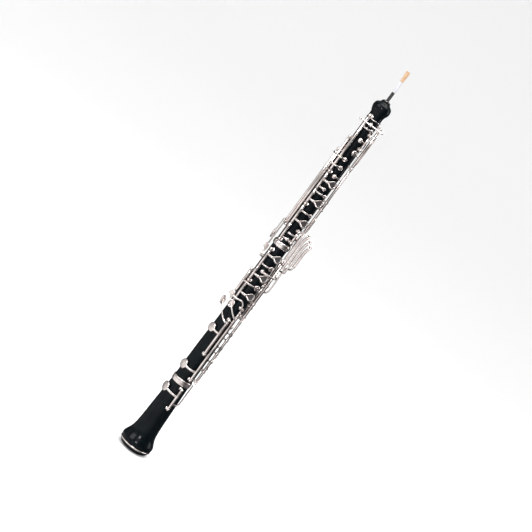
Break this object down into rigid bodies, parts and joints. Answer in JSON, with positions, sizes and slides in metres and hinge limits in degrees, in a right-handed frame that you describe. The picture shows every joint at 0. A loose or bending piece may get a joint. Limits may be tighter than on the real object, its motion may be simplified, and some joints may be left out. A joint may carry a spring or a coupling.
{
  "type": "oboe",
  "caption": "Oboe of turned blackwood in three joints with silver-plated keywork on rods and posts, and a double reed.",
  "frame": {"origin": "centre of the bell's rim plane, where the bore's axis meets it", "axes": "+Z along the bore towards the reed; -Y is the front, where the finger plates are; +X is to the right when facing the finger plates"},
  "size_m": [0.0553, 0.0516, 0.65],
  "materials": {
    "blackwood": "polished",
    "silver_plate": "polished",
    "steel_rod": "polished",
    "tenon_cork": "matte",
    "black_cork": "matte",
    "cane": "satin",
    "thread": "matte"
  },
  "bodies": {
    "instrument": {"bell": "blackwood", "bell_rim_ring": "silver_plate", "bell_rod": "steel_rod", "bell_socket_ring": "silver_plate", "bell_tenon_cork": "tenon_cork", "bridge_rod": "steel_rod", "front_left_rod": "steel_rod", "front_rod": "steel_rod", "long_trill_rod": "steel_rod", "lower_joint": "blackwood", "lower_left_outer_rod": "steel_rod", "lower_left_rod": "steel_rod", "lower_right_back_rod": "steel_rod", "lower_right_outer_rod": "steel_rod", "lower_right_rod": "steel_rod", "middle_socket_ring": "silver_plate", "middle_tenon_cork": "tenon_cork", "reed_well_tube": "silver_plate", "short_trill_rod": "steel_rod", "thumb_key_rod": "steel_rod", "thumb_rest": "silver_plate", "top_joint": "blackwood", "top_ring": "silver_plate", "upper_front_rod": "steel_rod", "upper_left_rod": "steel_rod", "upper_right_rod": "steel_rod", "upper_stay": "steel_rod"},
    "reed": {"reed_cork": "black_cork", "reed_staple": "steel_rod", "reed_thread": "thread", "reed_blade_front": "cane", "reed_blade_back": "cane"},
    "third_octave_key": {"third_octave_key": "silver_plate"},
    "top_vent_key": {"top_vent_key": "silver_plate"},
    "upper_side_key": {"upper_side_key": "silver_plate"},
    "second_octave_key": {"second_octave_key": "silver_plate"},
    "g_sharp_key": {"g_sharp_key": "silver_plate"},
    "half_hole_key": {"half_hole_key": "silver_plate"},
    "a_key": {"a_key": "silver_plate"},
    "g_key": {"g_key": "silver_plate"},
    "low_vent_key": {"low_vent_key": "silver_plate"},
    "bridge_key": {"bridge_key": "silver_plate"},
    "long_trill_key": {"long_trill_key": "silver_plate"},
    "short_trill_key": {"short_trill_key": "silver_plate"},
    "first_octave_key": {"first_octave_key": "silver_plate"},
    "f_sharp_key": {"f_sharp_key": "silver_plate"},
    "e_key": {"e_key": "silver_plate"},
    "d_key": {"d_key": "silver_plate"},
    "forked_f_key": {"forked_f_key": "silver_plate"},
    "left_f_key": {"left_f_key": "silver_plate"},
    "e_flat_lever": {"e_flat_lever": "silver_plate"},
    "b_lever": {"b_lever": "silver_plate"},
    "b_flat_lever": {"b_flat_lever": "silver_plate"},
    "c_key": {"c_key": "silver_plate"},
    "c_sharp_key": {"c_sharp_key": "silver_plate"},
    "e_flat_key": {"e_flat_key": "silver_plate"},
    "low_b_key": {"low_b_key": "silver_plate"},
    "low_b_flat_key": {"low_b_flat_key": "silver_plate"}
  },
  "joints": [
    {"name": "third_octave_key_hinge", "type": "hinge", "parent": "instrument", "child": "third_octave_key", "pos_m": [0.00357, -0.01432, 0.5306], "axis": [0, 0, 1], "range_deg": [0, 7], "stiffness_Nm_per_rad": 0.02},
    {"name": "top_vent_key_hinge", "type": "hinge", "parent": "instrument", "child": "top_vent_key", "pos_m": [-0.01311, -0.00787, 0.4846], "axis": [0, 0, -1], "range_deg": [0, 6], "stiffness_Nm_per_rad": 0.02},
    {"name": "upper_side_key_hinge", "type": "hinge", "parent": "instrument", "child": "upper_side_key", "pos_m": [0.01237, -0.00899, 0.5026], "axis": [0, 0, 1], "range_deg": [0, 6], "stiffness_Nm_per_rad": 0.02},
    {"name": "second_octave_key_hinge", "type": "hinge", "parent": "instrument", "child": "second_octave_key", "pos_m": [0.01237, -0.00899, 0.3916], "axis": [0, 0, 1], "range_deg": [0, 7], "stiffness_Nm_per_rad": 0.02},
    {"name": "g_sharp_key_hinge", "type": "hinge", "parent": "instrument", "child": "g_sharp_key", "pos_m": [0.01237, -0.00899, 0.3701], "axis": [0, 0, 1], "range_deg": [0, 4], "stiffness_Nm_per_rad": 0.02},
    {"name": "half_hole_key_hinge", "type": "hinge", "parent": "instrument", "child": "half_hole_key", "pos_m": [-0.01311, -0.00787, 0.4532], "axis": [0, 0, 1], "range_deg": [0, 4], "stiffness_Nm_per_rad": 0.02},
    {"name": "a_key_hinge", "type": "hinge", "parent": "instrument", "child": "a_key", "pos_m": [-0.01311, -0.00787, 0.4296], "axis": [0, 0, 1], "range_deg": [0, 4], "stiffness_Nm_per_rad": 0.02},
    {"name": "g_key_hinge", "type": "hinge", "parent": "instrument", "child": "g_key", "pos_m": [-0.01311, -0.00787, 0.3952], "axis": [0, 0, 1], "range_deg": [0, 4], "stiffness_Nm_per_rad": 0.02},
    {"name": "low_vent_key_hinge", "type": "hinge", "parent": "instrument", "child": "low_vent_key", "pos_m": [-0.01311, -0.00787, 0.3701], "axis": [0, 0, 1], "range_deg": [0, 4], "stiffness_Nm_per_rad": 0.02},
    {"name": "bridge_key_hinge", "type": "hinge", "parent": "instrument", "child": "bridge_key", "pos_m": [0.00186, -0.01516, 0.3736], "axis": [0, 0, -1], "range_deg": [0, 4], "stiffness_Nm_per_rad": 0.02},
    {"name": "long_trill_key_hinge", "type": "hinge", "parent": "instrument", "child": "long_trill_key", "pos_m": [-0.01514, -0.00159, 0.3906], "axis": [0, 0, -1], "range_deg": [0, 5], "stiffness_Nm_per_rad": 0.02},
    {"name": "short_trill_key_hinge", "type": "hinge", "parent": "instrument", "child": "short_trill_key", "pos_m": [-0.01439, 0.00496, 0.3906], "axis": [0, 0, -1], "range_deg": [0, 4.5], "stiffness_Nm_per_rad": 0.02},
    {"name": "first_octave_key_hinge", "type": "hinge", "parent": "instrument", "child": "first_octave_key", "pos_m": [0.00701, 0.01318, 0.4806], "axis": [0, 0, 1], "range_deg": [0, 6], "stiffness_Nm_per_rad": 0.02},
    {"name": "f_sharp_key_hinge", "type": "hinge", "parent": "instrument", "child": "f_sharp_key", "pos_m": [-0.01422, -0.00821, 0.3207], "axis": [0, 0, 1], "range_deg": [0, 4], "stiffness_Nm_per_rad": 0.02},
    {"name": "e_key_hinge", "type": "hinge", "parent": "instrument", "child": "e_key", "pos_m": [-0.01422, -0.00821, 0.2986], "axis": [0, 0, 1], "range_deg": [0, 4], "stiffness_Nm_per_rad": 0.02},
    {"name": "d_key_hinge", "type": "hinge", "parent": "instrument", "child": "d_key", "pos_m": [-0.01422, -0.00821, 0.2586], "axis": [0, 0, 1], "range_deg": [0, 4], "stiffness_Nm_per_rad": 0.02},
    {"name": "forked_f_key_hinge", "type": "hinge", "parent": "instrument", "child": "forked_f_key", "pos_m": [-0.01634, -0.00086, 0.2666], "axis": [0, 0, -1], "range_deg": [0, 4], "stiffness_Nm_per_rad": 0.02},
    {"name": "left_f_key_hinge", "type": "hinge", "parent": "instrument", "child": "left_f_key", "pos_m": [0.01649, 0.00086, 0.2986], "axis": [0, 0, 1], "range_deg": [0, 3], "stiffness_Nm_per_rad": 0.02},
    {"name": "e_flat_lever_hinge", "type": "hinge", "parent": "instrument", "child": "e_flat_lever", "pos_m": [0.01649, 0.00086, 0.2426], "axis": [0, 0, 1], "range_deg": [0, 4], "stiffness_Nm_per_rad": 0.02},
    {"name": "b_lever_hinge", "type": "hinge", "parent": "instrument", "child": "b_lever", "pos_m": [0.01664, -0.00639, 0.1526], "axis": [0, 0, 1], "range_deg": [0, 4.5], "stiffness_Nm_per_rad": 0.02},
    {"name": "b_flat_lever_hinge", "type": "hinge", "parent": "instrument", "child": "b_flat_lever", "pos_m": [0.01292, -0.01247, 0.1346], "axis": [0, 0, 1], "range_deg": [0, 6], "stiffness_Nm_per_rad": 0.02},
    {"name": "c_key_hinge", "type": "hinge", "parent": "instrument", "child": "c_key", "pos_m": [-0.00574, -0.01668, 0.1771], "axis": [0, 0, -1], "range_deg": [0, 4], "stiffness_Nm_per_rad": 0.02},
    {"name": "c_sharp_key_hinge", "type": "hinge", "parent": "instrument", "child": "c_sharp_key", "pos_m": [0.00063, -0.01794, 0.1912], "axis": [0, 0, -1], "range_deg": [0, 4], "stiffness_Nm_per_rad": 0.02},
    {"name": "e_flat_key_hinge", "type": "hinge", "parent": "instrument", "child": "e_flat_key", "pos_m": [0.00063, -0.01794, 0.2402], "axis": [0, 0, -1], "range_deg": [0, 4], "stiffness_Nm_per_rad": 0.02},
    {"name": "low_b_key_hinge", "type": "hinge", "parent": "instrument", "child": "low_b_key", "pos_m": [0.00063, -0.01794, 0.1346], "axis": [0, 0, -1], "range_deg": [0, 3.6], "stiffness_Nm_per_rad": 0.02},
    {"name": "low_b_flat_key_hinge", "type": "hinge", "parent": "instrument", "child": "low_b_flat_key", "pos_m": [-0.00172, -0.01971, 0.0831], "axis": [0, 0, -1], "range_deg": [0, 4], "stiffness_Nm_per_rad": 0.02},
    {"name": "reed_slide", "type": "slide", "parent": "instrument", "child": "reed", "axis": [0, 0, 1], "range_m": [0, 0.02]}
  ],
  "couplings": [
    {"joint": "low_b_flat_key_hinge", "follows": "b_flat_lever_hinge", "ratio": 0.66},
    {"joint": "low_b_key_hinge", "follows": "b_lever_hinge", "ratio": 0.79},
    {"joint": "e_flat_key_hinge", "follows": "e_flat_lever_hinge", "ratio": 0.99},
    {"joint": "low_vent_key_hinge", "follows": "g_key_hinge", "ratio": 0.99},
    {"joint": "bridge_key_hinge", "follows": "f_sharp_key_hinge", "ratio": 0.99}
  ]
}
